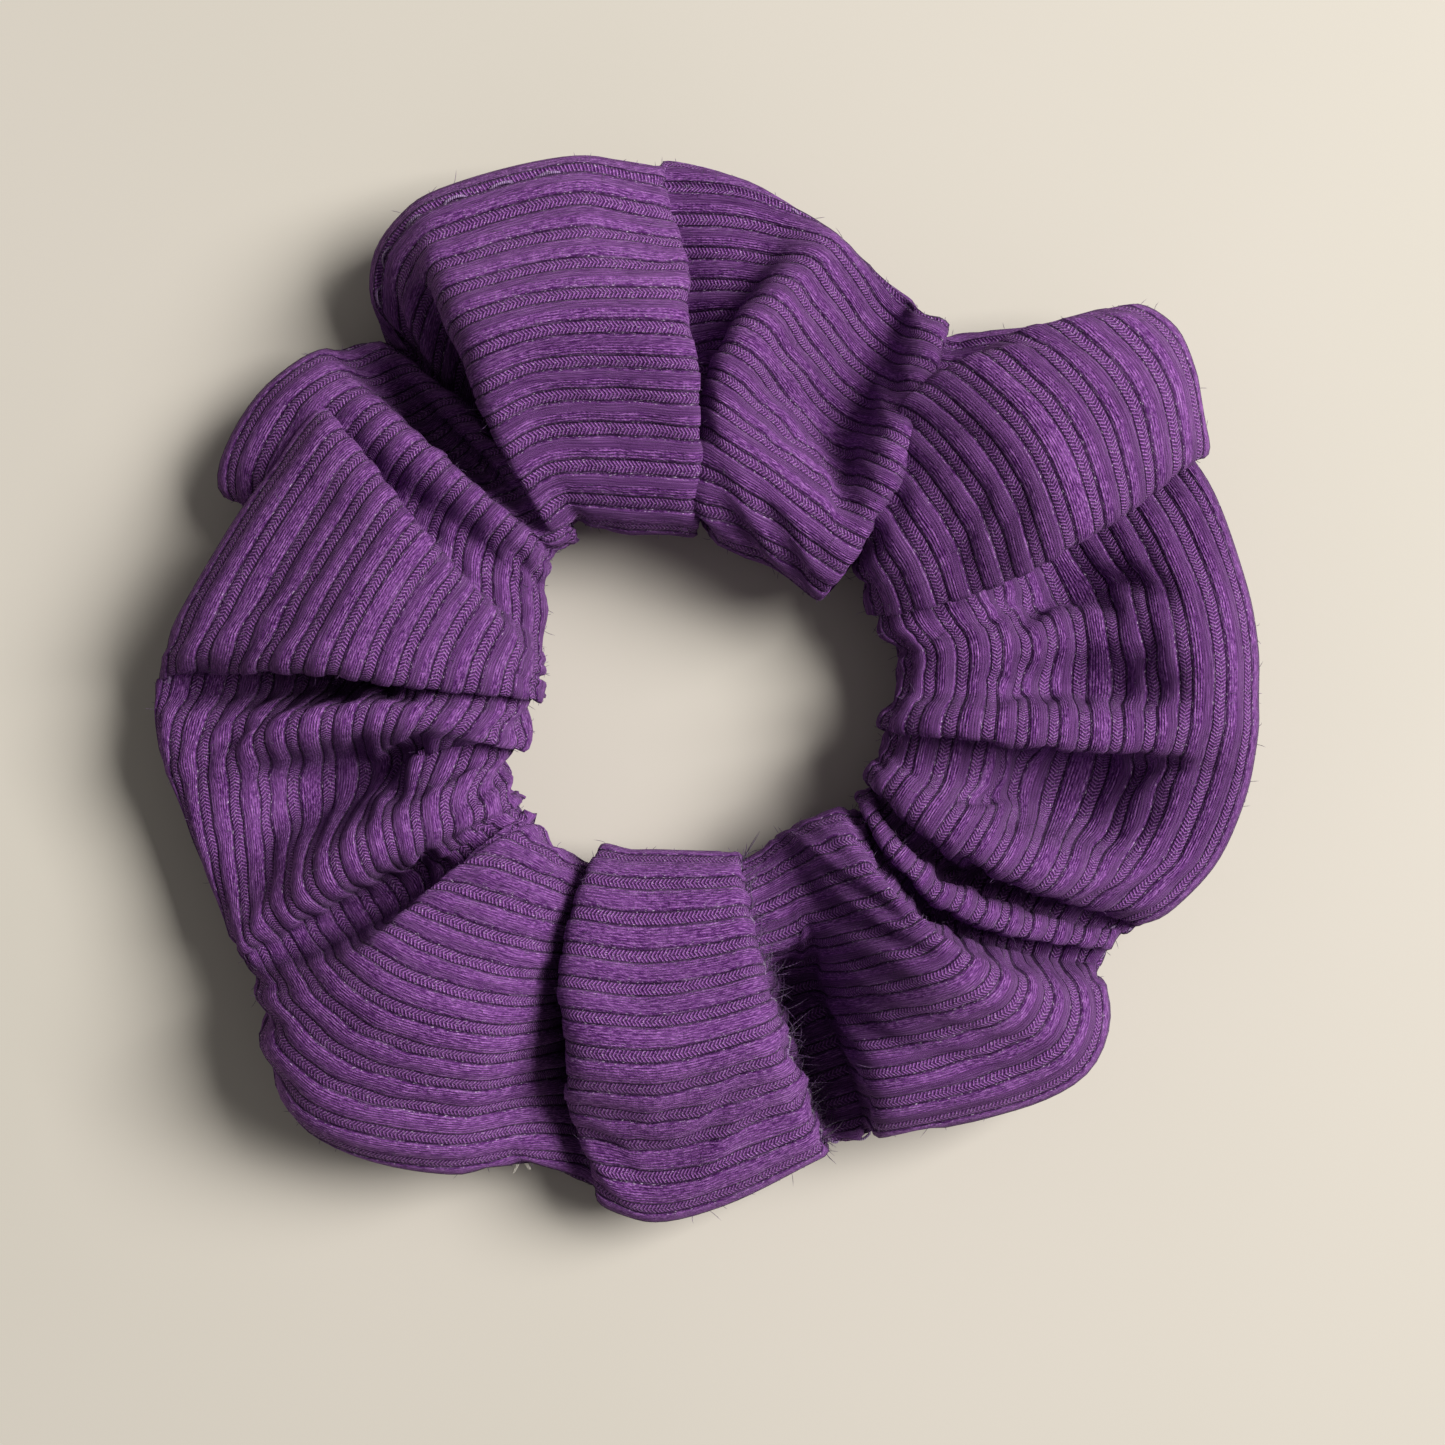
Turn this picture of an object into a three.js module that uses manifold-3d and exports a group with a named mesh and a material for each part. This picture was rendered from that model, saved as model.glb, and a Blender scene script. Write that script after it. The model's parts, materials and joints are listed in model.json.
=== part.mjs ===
// A gathered hair scrunchie lying flat: a knitted fabric tube, sewn along its outer rim and joined end to end,
// with a loop of flat elastic running free inside it.
// Millimetres, +Z up. The origin is on the table, at the middle of the scrunchie's bounding box.
import * as THREE from "three";
import { mergeVertices } from "three/addons/utils/BufferGeometryUtils.js";
import Module from "manifold-3d";

// Ring centre, shared by the hole, the cover and the elastic
const RING_CENTRE = new THREE.Vector3(-0.31, -0.73, 0);

// Fabric tube, as a nominal section that each pleat then widens, narrows, lifts or lowers
const TUBE_WIDTH = 35;
const TUBE_HEIGHT = 23;
const FABRIC_THICKNESS = 1.2;
const SQUARENESS = 0.75; // power of the section's superellipse: 1 is round, 0 is square
const SECTION_FACETS = 18;
const SEAM_HEIGHT = 10; // of the long seam on the outer rim, above the table
const UNDERSIDE_REACH = 11.5; // how far the section would hang below the seam if the table were not there

// Long seam: the strip's two edges turn in at the rim and lie face to face
const SEAM_GAP = 0.3;
const SEAM_ALLOWANCE = 7;

// Closing seam, where the tube's two ends meet
const CLOSING_ANGLE = 285;
const CLOSING_GAP = 0.5; // degrees
const CLOSING_LIFT = 2; // the sewn joint pulls the underside this far off the table
const CLOSING_LIFT_SPREAD = 10; // degrees to each side
const CLOSING_LIFT_TOP = 8; // height above which the lift has faded out

// Gathered pleats, counter-clockwise from +X: where each starts in degrees, then its outer and inner
// edge from the ring centre, and its crest above the table
const PLEATS = [
  { start: -10, outer: 56.5, inner: 19.5, crest: 24 },
  { start: 20, outer: 59.5, inner: 17.5, crest: 26 },
  { start: 45, outer: 49.5, inner: 15.5, crest: 25 },
  { start: 80, outer: 52.5, inner: 16.5, crest: 19 },
  { start: 90, outer: 56.5, inner: 17, crest: 26 },
  { start: 125, outer: 53, inner: 19, crest: 23 },
  { start: 145, outer: 55, inner: 18, crest: 26 },
  { start: 175, outer: 56, inner: 16.5, crest: 22 },
  { start: 200, outer: 53, inner: 20, crest: 20 },
  { start: 215, outer: 59, inner: 19, crest: 24 },
  { start: 245, outer: 53.5, inner: 15.5, crest: 26 },
  { start: 285, outer: 53.5, inner: 15, crest: 24 },
  { start: 320, outer: 51.5, inner: 18.5, crest: 21 },
  { start: 335, outer: 56, inner: 19, crest: 20 },
];
// How much lower, or further in, the valley between two pleats is than their average
const VALLEY = { outer: 3, inner: -1, crest: 4.5 };
const PLEAT_ROUNDNESS = 0.7;
const RING_STEPS = 72;
const RING_STEP_ANGLE = (360 - CLOSING_GAP) / RING_STEPS;

// Elastic: a flat woven band, its ends lapped over each other and stitched
const ELASTIC_RADIUS = 25;
const ELASTIC_WIDTH = 6;
const ELASTIC_THICKNESS = 1;
const ELASTIC_BOTTOM = 6.5;
const LAP_LENGTH = 12;
const LAP_GAP = 0.3;
const LAP_STEP_ANGLE = 15; // degrees over which the band steps out onto its own start
const LAP_ANGLE = 60; // where the lap's middle lies
const ELASTIC_STEPS = 80;

// Sewing thread
const THREAD_RADIUS = 0.3;
const THREAD_SIDES = 5;
const NEEDLE_CLEARANCE = 0.4; // between a thread and the cloth it passes
const STITCH_ROUNDING = 0.45; // how much of each corner the thread cuts off
const HOLE_SIDES = 6;
const LONG_SEAM_STITCHES = 26;
const LONG_SEAM_END = 4; // degrees left unsewn at each side of the closing seam
const CLOSING_STITCHES = 10;
const CLOSING_STITCH_REACH = 3; // degrees from the joint to a needle hole
const CLOSING_STITCH_START = 30; // degrees round the section, clear of the long seam
const CLOSING_STITCH_SLACK = 0.3; // more room, because these stitches span a curve
const LAP_STITCHES = 5;

const wasm = await Module();
wasm.setup();

// --- the ring's shape ---------------------------------------------------------------------------

const signedPower = (value, power) => Math.sign(value) * Math.abs(value) ** power;

// The pleat at an angle in degrees, and how far through it the angle is, from 0 to 1
function pleatAt(angle) {
  const first = PLEATS[0].start;
  const turned = first + THREE.MathUtils.euclideanModulo(angle - first, 360);
  const index = PLEATS.findLastIndex((pleat) => pleat.start <= turned);
  const next = PLEATS[index + 1]?.start ?? first + 360;
  return { index, share: (turned - PLEATS[index].start) / (next - PLEATS[index].start) };
}

// The value of "outer", "inner" or "crest" in the valley where pleat number index starts
function valley(key, index) {
  const here = PLEATS[index % PLEATS.length][key];
  const before = PLEATS[(index + PLEATS.length - 1) % PLEATS.length][key];
  return (here + before) / 2 - VALLEY[key];
}

// The same value at any angle: full in the middle of a pleat, falling to the valleys at its sides
function gathered(key, angle) {
  const { index, share } = pleatAt(angle);
  const floor = THREE.MathUtils.lerp(valley(key, index), valley(key, index + 1), share);
  const fullness = Math.sin(Math.PI * share) ** PLEAT_ROUNDNESS;
  return THREE.MathUtils.lerp(floor, PLEATS[index][key], fullness);
}

// How far the underside is off the table at an angle
function closingLift(angle) {
  const away = Math.abs(THREE.MathUtils.euclideanModulo(angle - CLOSING_ANGLE + 180, 360) - 180);
  return CLOSING_LIFT * Math.max(0, 1 - away / CLOSING_LIFT_SPREAD);
}

// A point on the ring at a radius, an angle in degrees and a height
function onRing(radius, angle, height) {
  const turn = THREE.MathUtils.degToRad(angle);
  return new THREE.Vector3(radius * Math.cos(turn), radius * Math.sin(turn), height).add(RING_CENTRE);
}

// Takes a point of the nominal section, x from the inner edge and y from the table, to its place
// in the gathered ring. Only what lies over the long seam is stretched to the pleat's crest.
function gather(x, y, angle) {
  const inner = gathered("inner", angle);
  const radius = THREE.MathUtils.lerp(inner, gathered("outer", angle), x / TUBE_WIDTH);
  const fixed = SEAM_HEIGHT + SEAM_GAP / 2 + FABRIC_THICKNESS + NEEDLE_CLEARANCE + 2 * THREAD_RADIUS;
  const stretch = (gathered("crest", angle) - fixed) / (TUBE_HEIGHT - fixed);
  const height = y > fixed ? fixed + (y - fixed) * stretch : y;
  const lift = closingLift(angle) * Math.max(0, 1 - y / CLOSING_LIFT_TOP);
  return onRing(radius, angle, height + lift);
}

// The angle of the cover's ring number step. They run backwards from one side of the closing seam
// to the other, so that the swept cover's faces point out.
const ringAngle = (step) => CLOSING_ANGLE - CLOSING_GAP / 2 - step * RING_STEP_ANGLE;

// The same place as gather gives, on the cover as it is made, which is straight between its rings
function onCover(x, y, angle) {
  const place = THREE.MathUtils.euclideanModulo(ringAngle(0) - angle, 360) / RING_STEP_ANGLE;
  const step = Math.floor(place);
  const ends = [step, step + 1].map((ring) => gather(x, y, ringAngle(ring)));
  return ends[0].lerp(ends[1], place - step);
}

// The wall of the nominal section at an angle in degrees round it, 0 at the outer rim and 90 on
// top, moved in from the outer face by a depth
function wallPoint(around, depth) {
  const turn = THREE.MathUtils.degToRad(around);
  const up = Math.sin(turn) > 0 ? TUBE_HEIGHT - SEAM_HEIGHT : UNDERSIDE_REACH;
  const x = (TUBE_WIDTH / 2 - depth) * signedPower(Math.cos(turn), SQUARENESS);
  const y = (up - depth) * signedPower(Math.sin(turn), SQUARENESS);
  return new THREE.Vector2(TUBE_WIDTH / 2 + x, Math.max(depth, SEAM_HEIGHT + y));
}

// --- solids -------------------------------------------------------------------------------------

function toSolid(geometry) {
  const bare = geometry.clone();
  bare.deleteAttribute("normal");
  bare.deleteAttribute("uv");
  const merged = mergeVertices(bare, 1e-4);
  const vertProperties = merged.getAttribute("position").array;
  const triVerts = new Uint32Array(merged.index.array);
  return new wasm.Manifold(new wasm.Mesh({ numProp: 3, vertProperties, triVerts }));
}

function toGeometry(solid) {
  const { vertProperties, triVerts } = solid.getMesh();
  const geometry = new THREE.BufferGeometry();
  geometry.setAttribute("position", new THREE.BufferAttribute(vertProperties, 3));
  geometry.setIndex(new THREE.BufferAttribute(triVerts, 1));
  geometry.computeVertexNormals();
  return geometry;
}

// Extrudes a section and moves every point of it by place(x, y, share of the way along)
function sweep(section, steps, place) {
  const geometry = new THREE.ExtrudeGeometry(section, { depth: 1, steps, bevelEnabled: false });
  const points = geometry.getAttribute("position");
  for (let i = 0; i < points.count; i += 1) {
    const placed = place(points.getX(i), points.getY(i), points.getZ(i));
    points.setXYZ(i, placed.x, placed.y, placed.z);
  }
  return geometry;
}

// A path with one ring of the swept tube at each of its points
class StitchPath extends THREE.Curve {
  constructor(points) {
    super();
    this.points = points;
  }

  getPoint(share, target = new THREE.Vector3()) {
    const place = share * (this.points.length - 1);
    const index = Math.min(Math.floor(place), this.points.length - 2);
    return target.lerpVectors(this.points[index], this.points[index + 1], place - index);
  }

  getPointAt(share, target) {
    return this.getPoint(share, target);
  }

  getTangentAt(share, target = new THREE.Vector3()) {
    const half = 0.5 / (this.points.length - 1);
    const before = this.getPoint(Math.max(0, share - half));
    return target.subVectors(this.getPoint(Math.min(1, share + half)), before).normalize();
  }
}

// Swaps each corner of a path for two points a little before and after it
function rounded(points, cut) {
  const path = [points[0]];
  for (let i = 1; i < points.length - 1; i += 1) {
    for (const neighbour of [points[i - 1], points[i + 1]]) {
      const away = neighbour.clone().sub(points[i]);
      path.push(points[i].clone().addScaledVector(away.normalize(), cut));
    }
  }
  path.push(points.at(-1));
  return path;
}

function thread(points) {
  const path = rounded(points, STITCH_ROUNDING);
  const section = new THREE.Shape();
  section.absarc(0, 0, THREAD_RADIUS, 0, 2 * Math.PI);
  return new THREE.ExtrudeGeometry(section, {
    curveSegments: THREAD_SIDES / 2, // a full turn takes twice as many
    steps: path.length - 1,
    extrudePath: new StitchPath(path),
  });
}

// A round hole for the thread, from one point to another and a little past both
function needleHole([from, to]) {
  const along = to.clone().sub(from);
  const radius = THREAD_RADIUS + NEEDLE_CLEARANCE;
  const pin = new THREE.CylinderGeometry(radius, radius, along.length() + radius, HOLE_SIDES);
  pin.applyQuaternion(new THREE.Quaternion().setFromUnitVectors(THREE.Object3D.DEFAULT_UP, along.normalize()));
  pin.translate(...from.clone().add(to).multiplyScalar(0.5));
  return toSolid(pin);
}

function pierced(geometry, holes) {
  const needles = holes.map(needleHole);
  return toGeometry(toSolid(geometry).subtract(wasm.Manifold.union(needles)));
}

// --- the stitches' routes -----------------------------------------------------------------------

// Whip stitches along the long seam: each goes down through both seam allowances and back up
// round their raw edges, inside the tube
function longSeamRoute() {
  const away = SEAM_GAP / 2 + FABRIC_THICKNESS + NEEDLE_CLEARANCE + THREAD_RADIUS;
  const holeAt = TUBE_WIDTH - SEAM_ALLOWANCE / 2;
  const edgeAt = TUBE_WIDTH - SEAM_ALLOWANCE - NEEDLE_CLEARANCE - THREAD_RADIUS;
  const sewn = 360 - 2 * LONG_SEAM_END;
  const pitch = sewn / LONG_SEAM_STITCHES;
  const route = [];
  const holes = [];
  for (let i = 0; i < LONG_SEAM_STITCHES; i += 1) {
    const angle = CLOSING_ANGLE + LONG_SEAM_END + (i + 0.3) * pitch;
    const top = onCover(holeAt, SEAM_HEIGHT + away, angle);
    const bottom = onCover(holeAt, SEAM_HEIGHT - away, angle);
    const edgeBelow = onCover(edgeAt, SEAM_HEIGHT - away, angle);
    const edgeAbove = onCover(edgeAt, SEAM_HEIGHT + away, angle);
    const halfway = onCover((holeAt + edgeAt) / 2, SEAM_HEIGHT + away, angle + pitch / 2);
    holes.push([top, bottom]);
    route.push(top, bottom, edgeBelow, edgeAbove, halfway);
  }
  return { route, holes };
}

// Whip stitches round the section that draw the tube's two ends together
function closingSeamRoute() {
  const away = NEEDLE_CLEARANCE + THREAD_RADIUS + CLOSING_STITCH_SLACK;
  const outside = -away;
  const inside = FABRIC_THICKNESS + away;
  const pitch = (360 - 2 * CLOSING_STITCH_START) / CLOSING_STITCHES;
  const at = (around, depth, side) => {
    const { x, y } = wallPoint(around, depth);
    return onCover(x, y, CLOSING_ANGLE + side * CLOSING_STITCH_REACH);
  };
  const route = [];
  const holes = [];
  for (let i = 0; i < CLOSING_STITCHES; i += 1) {
    const around = CLOSING_STITCH_START + (i + 0.5) * pitch;
    const entry = [at(around, outside, -1), at(around, inside, -1)];
    const exit = [at(around, inside, 1), at(around, outside, 1)];
    holes.push(entry, exit);
    route.push(...entry, at(around, inside, 0), ...exit, at(around + pitch / 2, outside, 0));
  }
  return { route, holes };
}

// A zigzag through both layers of the elastic's lap
function lapRoute() {
  const reach = ELASTIC_THICKNESS + LAP_GAP / 2 + NEEDLE_CLEARANCE + THREAD_RADIUS;
  const pitch = THREE.MathUtils.radToDeg(LAP_LENGTH / ELASTIC_RADIUS) / (2 * LAP_STITCHES + 1);
  const route = [];
  const holes = [];
  for (let i = 0; i < 2 * LAP_STITCHES; i += 1) {
    const side = i % 2 ? 1 : -1;
    const angle = LAP_ANGLE + (i - LAP_STITCHES + 0.5) * pitch;
    const height = ELASTIC_BOTTOM + ELASTIC_WIDTH * (0.5 + 0.25 * side);
    const hole = [-side, side].map((way) => onRing(ELASTIC_RADIUS + way * reach, angle, height));
    holes.push(hole);
    route.push(...hole);
  }
  return { route, holes };
}

// --- the pieces ---------------------------------------------------------------------------------

// The section of the sewn tube: one wall all round, slit at the rim, with both edges turned in
function tubeSection() {
  const lip = SEAM_GAP / 2;
  const edge = TUBE_WIDTH - SEAM_ALLOWANCE;
  const round = (facets, depth) => {
    const start = THREE.MathUtils.radToDeg(Math.asin((lip + depth) / TUBE_HEIGHT));
    const spread = (i) => start + ((360 - 2 * start) * i) / facets;
    return Array.from({ length: facets + 1 }, (_, i) => wallPoint(spread(i), depth));
  };
  const outside = round(SECTION_FACETS, 0);
  const inside = round(SECTION_FACETS - 4, FABRIC_THICKNESS).reverse();
  outside[0].y = SEAM_HEIGHT + lip;
  outside.at(-1).y = SEAM_HEIGHT - lip;
  inside[0].y = SEAM_HEIGHT - lip - FABRIC_THICKNESS;
  inside.at(-1).y = SEAM_HEIGHT + lip + FABRIC_THICKNESS;
  const lowerEdge = [
    new THREE.Vector2(edge, SEAM_HEIGHT - lip),
    new THREE.Vector2(edge, SEAM_HEIGHT - lip - FABRIC_THICKNESS),
  ];
  const upperEdge = [
    new THREE.Vector2(edge, SEAM_HEIGHT + lip + FABRIC_THICKNESS),
    new THREE.Vector2(edge, SEAM_HEIGHT + lip),
  ];
  return new THREE.Shape([...outside, ...lowerEdge, ...inside, ...upperEdge]);
}

function fabricTube() {
  return sweep(tubeSection(), RING_STEPS, (x, y, share) => gather(x, y, ringAngle(share * RING_STEPS)));
}

// The elastic's radius along its length: a plain circle that steps out over its own start
function elasticRadius(angle) {
  const step = (ELASTIC_THICKNESS + LAP_GAP) / 2;
  const climb = THREE.MathUtils.smoothstep(angle, 360 - LAP_STEP_ANGLE, 360);
  return ELASTIC_RADIUS + THREE.MathUtils.lerp(-step, step, climb);
}

function elasticBand() {
  const lap = THREE.MathUtils.radToDeg(LAP_LENGTH / ELASTIC_RADIUS);
  const length = 360 + lap;
  const half = ELASTIC_THICKNESS / 2;
  const section = new THREE.Shape();
  section.moveTo(-half, 0);
  section.lineTo(half, 0);
  section.lineTo(half, ELASTIC_WIDTH);
  section.lineTo(-half, ELASTIC_WIDTH);
  return sweep(section, ELASTIC_STEPS, (x, y, share) => {
    const angle = length * (1 - share);
    return onRing(elasticRadius(angle) + x, LAP_ANGLE - lap / 2 + angle, ELASTIC_BOTTOM + y);
  });
}

const knit = new THREE.MeshStandardMaterial({ color: 0x593563, roughness: 0.9 });
const webbing = new THREE.MeshStandardMaterial({ color: 0xe4e0d8, roughness: 0.8 });
const cotton = new THREE.MeshStandardMaterial({ color: 0x7d5a8c, roughness: 0.6 });
const rawCotton = new THREE.MeshStandardMaterial({ color: 0xe9e6de, roughness: 0.6 });

function piece(name, geometry, material) {
  const mesh = new THREE.Mesh(geometry, material);
  mesh.name = name;
  return mesh;
}

const longSeam = longSeamRoute();
const closingSeam = closingSeamRoute();
const lap = lapRoute();
const coverHoles = [...longSeam.holes, ...closingSeam.holes];

const cover = new THREE.Group();
cover.add(piece("fabric_tube", pierced(fabricTube(), coverHoles), knit));
cover.add(piece("long_seam_thread", thread(longSeam.route), cotton));
cover.add(piece("closing_seam_thread", thread(closingSeam.route), cotton));

const band = new THREE.Group();
band.add(piece("elastic_band", pierced(elasticBand(), lap.holes), webbing));
band.add(piece("elastic_stitches", thread(lap.route), rawCotton));

const scrunchie = new THREE.Group();
scrunchie.add(cover, band);

export default scrunchie;
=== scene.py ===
"""A ribbed knit scrunchie lying on a pale table, drawn around its CAD model.

The cover is one strip of rib knit, sewn into a tube and gathered on a ring of elastic. Its pleats are
laid out as cross sections of the tube, and a small cloth solver then settles the strip. Threads
keep about the lengths they are laid out with, each pleat is held near its place, folds push each other
apart, and everything stays above the table and clear of a ring round the elastic.
Cloth lengths are in millimetres, in the CAD frame. Everything Blender holds is in metres.
"""

import json

import bpy
import numpy as np
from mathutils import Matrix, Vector

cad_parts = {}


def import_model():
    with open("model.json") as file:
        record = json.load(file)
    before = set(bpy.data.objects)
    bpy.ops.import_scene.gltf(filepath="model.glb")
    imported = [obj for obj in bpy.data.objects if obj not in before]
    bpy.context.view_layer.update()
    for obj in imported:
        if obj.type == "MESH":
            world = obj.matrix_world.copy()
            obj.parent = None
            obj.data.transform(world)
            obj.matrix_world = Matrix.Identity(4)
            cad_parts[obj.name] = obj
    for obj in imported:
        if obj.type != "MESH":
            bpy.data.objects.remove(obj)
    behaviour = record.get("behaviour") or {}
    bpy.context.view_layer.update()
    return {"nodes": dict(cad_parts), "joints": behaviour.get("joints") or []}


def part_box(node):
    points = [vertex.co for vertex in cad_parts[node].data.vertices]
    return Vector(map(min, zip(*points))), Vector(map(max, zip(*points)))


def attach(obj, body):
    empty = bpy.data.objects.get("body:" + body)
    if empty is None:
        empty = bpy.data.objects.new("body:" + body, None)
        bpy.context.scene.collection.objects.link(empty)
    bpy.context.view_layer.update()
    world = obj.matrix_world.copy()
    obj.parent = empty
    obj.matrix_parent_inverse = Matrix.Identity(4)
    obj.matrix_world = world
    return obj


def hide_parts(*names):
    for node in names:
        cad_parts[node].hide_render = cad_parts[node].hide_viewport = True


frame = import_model()

MM = 0.001
BODY = "cover"

# ---------------------------------------------------------------- the cover's cloth
RIB_COUNT = 25
RIB_PITCH = 3.85
TUBE_GIRTH = RIB_COUNT * RIB_PITCH
# The sheet's length. It suits the modelled cloth, whose rows are 396 long on average, and is
# shorter than the strip that a scrunchie is usually cut from.
# A nominal length, which limits the steps between columns and places those beside the closing seam.
STRIP_LENGTH = 540.0
CLOTH_THICKNESS = 1.4
COLUMNS = 440
ROWS = 64

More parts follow.
